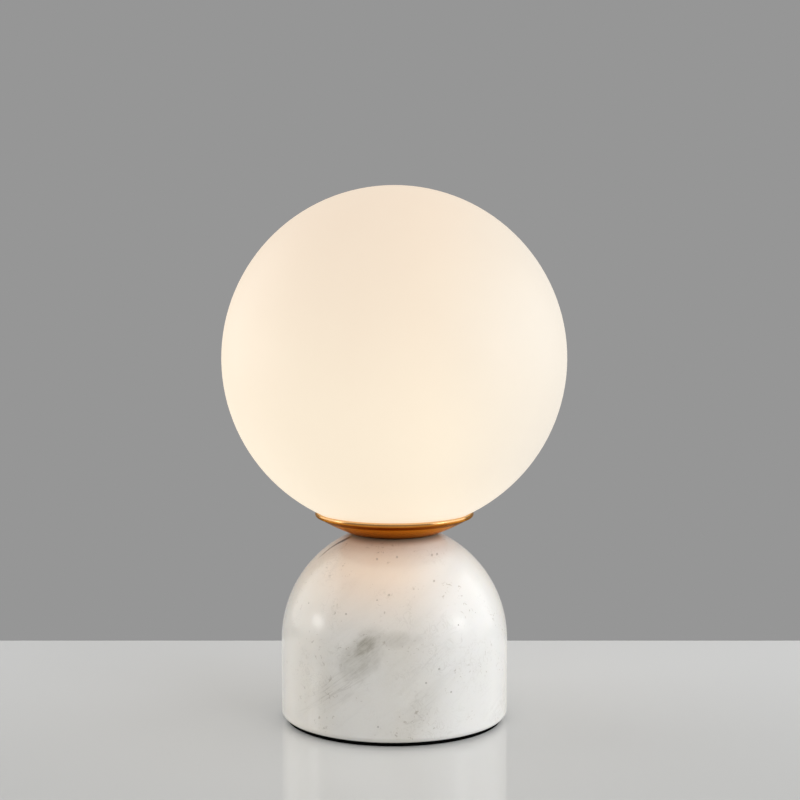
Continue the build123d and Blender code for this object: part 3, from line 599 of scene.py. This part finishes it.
saucer_low, saucer_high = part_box("brass_saucer")
lip_start = saucer_high.z - 3.2 * mm
brass = Finish("lacquered_brass", {"Metallic": 1.0, "Specular Tint": paint(250, 218, 174)})
lip = brass.z.rise(lip_start - 0.3 * mm, lip_start)
ring_noise = {"W": brass.radius(), "Scale": 2600.0}
rings = brass.node("TexNoise", {"noise_dimensions": "1D"}, ring_noise)
haze = brass.noise(45, 4, roughness=0.6)
tone = brass.mix(haze.rise(0.35, 0.7), paint(224, 146, 58), paint(210, 132, 48))
# Painted reflection: the top of the lip is painted pale, as if it mirrored the lit globe.
rim = brass.z.rise(saucer_high.z - 1.9 * mm, saucer_high.z - 0.4 * mm)
tone = brass.mix(rim, tone, paint(236, 194, 144))
tone = brass.mix(rings.rise(0.4, 0.7) * (1 - lip) * 0.35, tone, paint(172, 100, 36))

# Painted shade: the crease under the lip is painted dark red, and a painted shadow darkens
# the foot where it meets the stone.
crease = abs(brass.z - lip_start + 0.4 * mm).rise(1.7 * mm, 0.7 * mm)
painted_foot_shadow = brass.z.rise(saucer_low.z + 1.3 * mm, saucer_low.z + 0.5 * mm)
tone = brass.mix(crease, tone, paint(112, 2, 0))
tone = brass.mix(painted_foot_shadow, tone, paint(34, 6, 2))
brass.feed(
    base_color=tone,
    roughness=0.15 + (1 - lip) * (0.05 + rings * 0.1) + haze * 0.05,
)
brass.relief(rings * (1 - lip * 0.9), 0.02 * mm, 0.5)
dress(brass, "brass_saucer")

# ------------------------------------------------------------------ globe gasket
# A ring of white silicone, moulded to the dish below. Its top is flat under the glass and
# has two grooves, so that it grips.

silicone = Finish(
    "white_silicone", {"Subsurface Weight": 0.35, "Subsurface Radius": (2 * mm, 2 * mm, 1.6 * mm)}
)
milk = silicone.noise(120, 4)
silicone.feed(
    base_color=silicone.mix(milk, paint(226, 225, 218), paint(206, 204, 196)),
    roughness=0.38 + milk * 0.15,
)

seal_low, seal_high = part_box("globe_gasket")
seal = [(vert.co.xy.length, vert.co.z) for vert in frame["nodes"]["globe_gasket"].data.vertices]
inner, outer, top = min(seal)[0], seal_high.x, seal_high.z
outer_low = min(level for radius, level in seal if radius > outer - 0.1 * mm)
chamfer = 0.2 * mm
groove, groove_depth = 0.5 * mm, 0.4 * mm
seal_outline = [(inner, seal_low.z), (outer, outer_low)]
seal_outline += [(outer, top - chamfer), (outer - chamfer, top)]
for share in (0.35, 0.7):
    ring = outer + (inner - outer) * share
    seal_outline += [(ring + groove, top), (ring + groove / 2, top - groove_depth)]
    seal_outline += [(ring - groove / 2, top - groove_depth), (ring - groove, top)]
seal_outline += [(inner + chamfer, top), (inner, top - chamfer)]
finished(lathe(seal_outline, 144), "seal_ring", silicone, "base", "globe_gasket")

# ------------------------------------------------------------------ globe spider
# A star of spring steel, pressed in one stroke and nickel plated. Its three fingers stand
# up inside the glass mouth and keep the globe in the middle of the saucer.

spring = Finish("plated_spring_steel", {"Metallic": 1.0})
lengthways = spring.node("Mapping", {}, {"Vector": spring.place, "Scale": (60.0, 2400.0, 60.0)})
rolled = spring.noise(1, place=lengthways)
blush = spring.noise(70, 4)
spring.feed(
    base_color=spring.mix(blush.rise(0.4, 0.7), paint(196, 194, 190), paint(172, 168, 160)),
    roughness=0.24 + rolled * 0.14,
)
spring.relief(rolled, 0.02 * mm, 0.5)
dress(spring, "globe_spider")
dress(zinc, "saucer_lock_washer", "saucer_nut")

# ------------------------------------------------------------------ lampholder
# A white moulded dome that screws onto the tube, with a grub screw in its collar, and a
# skirt that screws onto the dome and holds the porcelain insert down.

holder_white = moulded("white_holder", paint(228, 226, 219), paint(214, 211, 202), 0.3)
dress(holder_white, "holder_dome")

skirt_low, skirt_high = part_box("holder_skirt")
skirt_wall = 1.8 * mm
skirt_lip = 2.0 * mm
skirt_lip_bore = 13.75 * mm
skirt_taper = 0.7 * mm
skirt_step = 11 * mm
skirt_rows = 44
foot_radius, top_radius = skirt_high.x, skirt_high.x - skirt_taper
lip_round = skirt_lip / 2
under_lip = skirt_high.z - skirt_lip
straight = skirt_high.z - lip_round - skirt_low.z
skirt_outline = []
for row in range(skirt_rows):
    share = row / skirt_rows
    skirt_outline.append((foot_radius - skirt_taper * share, skirt_low.z + straight * share))
skirt_outline += arc(top_radius - lip_round, skirt_high.z - lip_round, lip_round, 0, 90, 6)
skirt_outline += [(skirt_lip_bore, skirt_high.z), (skirt_lip_bore, under_lip)]
skirt_outline += [(top_radius - skirt_wall, under_lip)]
skirt_outline += [(foot_radius - skirt_wall, skirt_low.z + skirt_step)]
skirt_outline += [(foot_radius - skirt_wall, skirt_low.z)]
skirt_skin = lathe(skirt_outline, 480)

# Grip ribs all round its lower part: rounded valleys pressed in between them.
ribs, rib_depth, rib_run_out = 60, 0.55 * mm, 0.8 * mm
rib_bottom, rib_top = skirt_low.z + 1.2 * mm, skirt_low.z + 15 * mm
for vert in skirt_skin.verts:
    radius = vert.co.xy.length
    fade = min(1, min(vert.co.z - rib_bottom, rib_top - vert.co.z) / rib_run_out)
    if radius > top_radius - 0.1 * mm and fade > 0:
        turn = math.atan2(vert.co.y, vert.co.x)
        valley = (0.5 - 0.5 * math.cos(ribs * turn)) ** 2
        vert.co.xy *= 1 - rib_depth * valley * fade / radius
finished(skirt_skin, "ribbed_skirt", holder_white, "base", "holder_skirt")

# A slotted grub screw in the collar, and the slotted screws of the two terminals. They have
# no head, and a slot nearly from side to side.
slot_reach, slot_width = 0.9, 0.25 * mm
grub_low, grub_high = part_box("grub_screw")
grub_radius, grub_length = grub_high.y, grub_high.x - grub_low.x
grub_arms, grub_slot_depth = (grub_radius * slot_reach, 0), 0.8 * mm
grub_sizes = (grub_radius, grub_radius, grub_length, grub_radius, 0)
grub = driven(*grub_sizes, grub_arms, slot_width, grub_slot_depth)
middle = Matrix.Translation((grub_high.x, 0, (grub_low.z + grub_high.z) / 2))
outwards = Matrix.Rotation(math.pi / 2, 4, "Y") @ Matrix.Rotation(0.5, 4, "Z")
skin = gathered([grub], [middle @ outwards])
finished(skin, "slotted_grub", zinc, "base", "grub_screw")

ones, places = [], []
terminal_slot_depth = 0.5 * mm
terminal_turn_by_place = 200
for low, high in solids("terminal_screws"):
    head = (high.x - low.x) / 2
    sizes = (head, head, high.y - low.y, head, 0)
    ones.append(driven(*sizes, (head * slot_reach, 0), slot_width, terminal_slot_depth))
    middle = Matrix.Translation(((low.x + high.x) / 2, low.y, (low.z + high.z) / 2))
    turned = Matrix.Rotation(low.x * terminal_turn_by_place, 4, "Z")
    places.append(middle @ Matrix.Rotation(math.pi / 2, 4, "X") @ turned)
skin = gathered(ones, places)
finished(skin, "slotted_terminals", zinc, "base", "terminal_screws")

# The insert is glazed all over, with a few iron specks of its clay under the glaze.
glaze = Finish("glazed_porcelain", {"Coat Weight": 0.8, "Coat Roughness": 0.05})
body_specks = glaze.noise(700, 2).rise(0.68, 0.74)
glaze_tone = glaze.mix(glaze.noise(60), paint(238, 236, 229), paint(226, 223, 214))
glaze.feed(
    base_color=glaze.mix(body_specks * 0.4, glaze_tone, paint(190, 182, 168)),
    roughness=0.12 + glaze.noise(200) * 0.08,
)
dress(glaze, "holder_insert")

# ------------------------------------------------------------------ holder contacts
# Brass terminals under the insert, bronze tongues through it, and the nickel plated screw
# shell, whose rolled thread the lamp's cap turns in.

dress(machined_brass, "holder_terminals")
bronze = plated("bronze_strip", paint(206, 150, 104), paint(180, 120, 78), 0.25)
dress(bronze, "centre_tongue", "shell_tongue")

# The lamp rises by the thread's pitch in a turn, so the record's coupling gives the pitch.
coupling = frame["record"]["behaviour"]["couplings"][0]
thread_pitch = coupling["ratio"] * math.tau
thread_depth = 1.0 * mm
nickel = plated("thin_nickel", paint(212, 208, 198), paint(190, 182, 166), 0.16, stains=90)

shell_low, shell_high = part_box("screw_shell")
shell_bore = shell_high.x - 0.35 * mm
shell_rows = 90
shell_outline = even_rows(shell_high.x, shell_low.z, shell_high.z, shell_rows)
shell_outline += even_rows(shell_bore, shell_high.z, shell_low.z, shell_rows)
shell_skin = lathe(shell_outline, 96)
roll_thread(shell_skin, shell_low.z, shell_high.z, thread_pitch, thread_depth)
finished(shell_skin, "threaded_shell", nickel, "base", "screw_shell")

# ------------------------------------------------------------------ lamp
# An LED lamp that screws into the holder. Its cap is a rolled nickel plated shell round
# black glass, with the contact's brass tip. A flared housing carries the lit board and the
# opal diffuser.

cap_low, cap_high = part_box("screw_cap")
cap_wall = 0.4 * mm
cap_bore = cap_high.x - cap_wall
cap_side_low = cap_low.z + 1.5 * mm
cap_rows = 84
insulator_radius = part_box("cap_insulator")[1].x
hem_bore, hem_corner, hem_rise = insulator_radius - 2 * mm, insulator_radius - 0.4 * mm, 0.3 * mm
cap_outline = [(hem_bore, cap_low.z), (hem_corner, cap_low.z)]
cap_outline += [(insulator_radius, cap_low.z + hem_rise)]
cap_outline += even_rows(cap_high.x, cap_side_low, cap_high.z, cap_rows)
cap_outline += even_rows(cap_bore, cap_high.z, cap_side_low, cap_rows)
cap_outline += [(hem_bore, cap_low.z + cap_wall)]
cap_skin = lathe(cap_outline, 96)
cap_thread = (cap_low.z + 1.2 * mm, cap_high.z - 1.5 * mm)
roll_thread(cap_skin, *cap_thread, thread_pitch, thread_depth)
finished(cap_skin, "threaded_cap", nickel, "lamp", "screw_cap")

vitrite = Finish("black_glass", {"Coat Weight": 1.0, "Coat Roughness": 0.04})
flow = vitrite.noise(260, 4)
vitrite.feed(
    base_color=vitrite.mix(flow, paint(14, 13, 18), paint(34, 30, 42)),
    roughness=0.1 + flow * 0.15,
)
dress(vitrite, "cap_insulator")
dress(machined_brass, "lamp_contact")

# The housing is white polyester round the driver. Its spigot goes up inside the cap, a bead
# sits on the cap, and the side flares along one cubic curve to the brim. A parting groove
# runs under the brim, and the board lies in a step inside it.
housing_low, housing_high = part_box("lamp_housing")
housing_white = moulded("white_polyester", paint(236, 235, 230), paint(224, 222, 214), 0.4)
spigot = cap_bore - thread_depth - 0.1 * mm
foot, brim = Vector((cap_high.x, cap_high.z)), Vector((housing_high.x, housing_high.z))
board_radius, board_level = brim.x - 2.0 * mm, brim.y - 1.0 * mm
bead_radius = 0.6 * mm
parting_depth = 0.4 * mm
flare_steps = 40
reach = (brim - foot).length
foot_slope, brim_slope = [Vector(lean).normalized() * reach for lean in ((0.35, 1), (0.3, 1))]
flare = []
for step in range(flare_steps + 1):
    t = step / flare_steps
    point = foot * (2 * t**3 - 3 * t**2 + 1) + foot_slope * (t**3 - 2 * t**2 + t)
    point += brim * (3 * t**2 - 2 * t**3) + brim_slope * (t**3 - t**2)
    flare.append((point.x, point.y))
parting = [(radius - parting_depth, height) for radius, height in flare[-3:-1]]
housing_outline = [(0, housing_low.z), (spigot, housing_low.z), (spigot, foot.y)]
housing_outline += arc(foot.x, foot.y + bead_radius, bead_radius, -90, 90, 6)
housing_outline += flare[3:-2] + parting + flare[-2:]
housing_outline += [(board_radius, brim.y), (board_radius, board_level), (0, board_level)]
housing_skin = lathe(housing_outline, 144)
finished(housing_skin, "flared_housing", housing_white, "lamp", "lamp_housing")
dress(moulded("solder_mask", paint(236, 236, 230), paint(226, 226, 218), 0.3), "led_board")

# Yellow phosphor covers each chip and glows.
phosphor = Finish("phosphor", {"Emission Strength": 0.35})
lit_yellow = phosphor.mix(phosphor.noise(900), paint(250, 214, 90), paint(240, 190, 60))
phosphor.feed(
    base_color=lit_yellow,
    emission_color=lit_yellow,
    roughness=0.35 + phosphor.noise(600) * 0.1,
)
dress(phosphor, "led_chips")

# The diffuser is opal plastic with light behind all of it, a little less near its rim.
diffuser_low, diffuser_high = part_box("lamp_diffuser")
frost = Finish("lit_diffuser", {"Emission Strength": 0.5})
upward = frost.z.rise(diffuser_low.z, diffuser_high.z)
frost.feed(
    base_color=frost.mix(frost.noise(40), paint(196, 192, 182), paint(188, 183, 172)),
    emission_color=frost.mix(upward, paint(236, 212, 170), paint(255, 238, 205)),
    roughness=0.3 + frost.noise(300) * 0.1,
)
dress(frost, "lamp_diffuser")

# ------------------------------------------------------------------ glass globe
# A ball of opal glass, blown in one wall, etched to a satin gloss outside and cut off flat
# at its mouth. The lamp inside lights all of it, brightest low down. Its glow is painted
# dimmer and less creamy at the right, where the side lights fall.

globe_low, globe_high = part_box("glass_globe")
globe_radius = (globe_high.x - globe_low.x) / 2
globe_middle = globe_high.z - globe_radius
opal = Finish("satin_opal_glass", {"Emission Strength": 1.0, "Specular IOR Level": 0.35})
side = opal.x / globe_radius
level = (opal.z - globe_middle) / globe_radius
melt = opal.noise(14, 3) - 0.5
downward = (level + melt * 0.25).rise(0.95, -0.5)
cream = opal.mix(downward, paint(207, 188, 168), paint(222, 207, 185))
# Painted shade: the glow turns dimmer and greyer towards the right, where the side lights add
# their own.
cream = opal.mix((side + melt * 0.3).rise(0.1, 1.0) * 0.9, cream, paint(189, 183, 175))
opal.feed(
    base_color=opal.mix(opal.noise(30), paint(170, 164, 152), paint(165, 158, 146)),
    emission_color=cream,
    roughness=0.42 + opal.noise(500) * 0.06,
)
dress(opal, "glass_globe")

# ------------------------------------------------------------------ table
# A pale lacquered table top with its back edge close behind the lamp. It is polished, so it
# mirrors the lamp softly.

table_back = 195 * mm
table_thickness = 30 * mm
table_reach = 4.0
table_edge_round = 1.5 * mm

slab = bmesh.new()
bmesh.ops.create_cube(slab, size=1.0)
bmesh.ops.scale(slab, vec=(2 * table_reach, table_reach, table_thickness), verts=slab.verts)
slab_middle = (0, table_back - table_reach / 2, -table_thickness / 2)
bmesh.ops.translate(slab, vec=slab_middle, verts=slab.verts)
bmesh.ops.bevel(
    slab,
    geom=slab.edges[:],
    offset=table_edge_round,
    offset_type="OFFSET",
    affect="EDGES",
    segments=4,
    profile=0.5,
    material=-1,
)
table_mesh = bpy.data.meshes.new("table_top")
slab.to_mesh(table_mesh)
slab.free()
table = bpy.data.objects.new("table_top", table_mesh)
bpy.context.scene.collection.objects.link(table)
lacquer = Finish("pale_lacquer", {"IOR": 1.5})
# Painted light: the top is painted darker near the front and lighter towards the back, as the
# light falls off.
painted_falloff = (lacquer.y + lacquer.noise(3) * 0.02).rise(-0.3, 0.22)
lacquer_tone = lacquer.mix(painted_falloff, paint(212, 213, 212), paint(237, 238, 238))
lacquer.feed(base_color=lacquer_tone, roughness=0.04 + lacquer.noise(8) * 0.03)
table_mesh.materials.append(lacquer.material)
table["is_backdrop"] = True

# ------------------------------------------------------------------ light
# A plain grey background, which gloss mirrors too, while a soft white sky lights the rest.
# At each side stands a wide panel, part of whose light gloss doesn't mirror, and a small
# bright light that makes a round highlight. A large one at the right lights the front.

world = bpy.data.worlds.new("studio")
bpy.context.scene.world = world
world.use_nodes = True


class Surroundings(Finish):
    """The world's nodes, made as a finish's are."""

    def __init__(self, tree):
        self.tree = tree
        tree.nodes.remove(tree.nodes["Background"])


sky = Surroundings(world.node_tree)
backdrop = sky.node("Background", {}, {"Color": paint(150, 150, 150)})
ambient = sky.node("Background", {}, {"Color": (1.0, 0.995, 0.985, 1.0), "Strength": 0.52})
seen = sky.node("LightPath", output="Is Camera Ray")
for ray in ("Is Glossy Ray", "Is Transmission Ray"):
    seen = seen.most(sky.node("LightPath", output=ray))
choice = sky.node("MixShader", {}, {0: seen, 1: ambient, 2: backdrop})
sky.tree.links.new(choice.socket, sky.tree.nodes["World Output"].inputs["Surface"])


def soft_light(name, place, aim, width, height, power, shape="ELLIPSE", glossy=True):
    """A flat white light that faces its aim. Gloss mirrors it only where glossy is true."""
    light = bpy.data.lights.new(name, "AREA")
    light.shape = shape
    light.size = width
    light.size_y = height
    light.energy = power
    stand = bpy.data.objects.new(name, light)
    stand.location = place
    stand.rotation_mode = "QUATERNION"
    stand.rotation_quaternion = (Vector(aim) - Vector(place)).to_track_quat("-Z", "Y")
    stand.visible_camera = False
    stand.visible_glossy = glossy
    bpy.context.scene.collection.objects.link(stand)
    return light


left_panel = ((-1.0, 0.3, 0.5), (0, 0, 0.12), 1.2, 1.0)
right_panel = ((1.0, 0.0, 0.4), (0, 0, 0.1), 1.3, 0.75)
soft_light("left_panel", *left_panel, 3.7, "RECTANGLE")
soft_light("left_fill", *left_panel, 2.0, "RECTANGLE", glossy=False)
soft_light("right_panel", *right_panel, 3.9, "RECTANGLE")
soft_light("right_fill", *right_panel, 2.5, "RECTANGLE", glossy=False)
soft_light("left_light", (-1.1, -0.09, 0.29), (0, 0, 0.09), 0.32, 0.16, 0.52)
soft_light("right_light", (1.04, -0.35, 0.35), (0, 0, 0.09), 0.36, 0.2, 0.56)
soft_light("key_light", (1.4, -1.5, 1.1), (0, 0, 0.1), 1.2, 1.2, 9, glossy=False)

# The globe sheds warm light on the dome, more than its face has at this exposure.
under_globe, on_dome = (-0.01, -0.086, 0.128), (-0.003, -0.045, 0.088)
globe_glow = soft_light("globe_glow", under_globe, on_dome, 0.1, 0.04, 0.0017, glossy=False)
globe_glow.color = (1.0, 0.5, 0.2)
globe_glow.spread = math.radians(80)

# ------------------------------------------------------------------ camera
# A long lens a metre off, a little above the globe's middle and tilted down to the base.

view = bpy.data.cameras.new("view")
view.lens = 80
view.sensor_width = 36
tilt_down = 5.46
camera = bpy.data.objects.new("view", view)
camera.location = (3.3 * mm, -1030.1 * mm, 286.3 * mm)
camera.rotation_euler = (math.radians(90 - tilt_down), 0, 0)
bpy.context.scene.collection.objects.link(camera)
bpy.context.scene.camera = camera
bpy.context.scene.view_settings.view_transform = "Standard"

low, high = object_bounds()
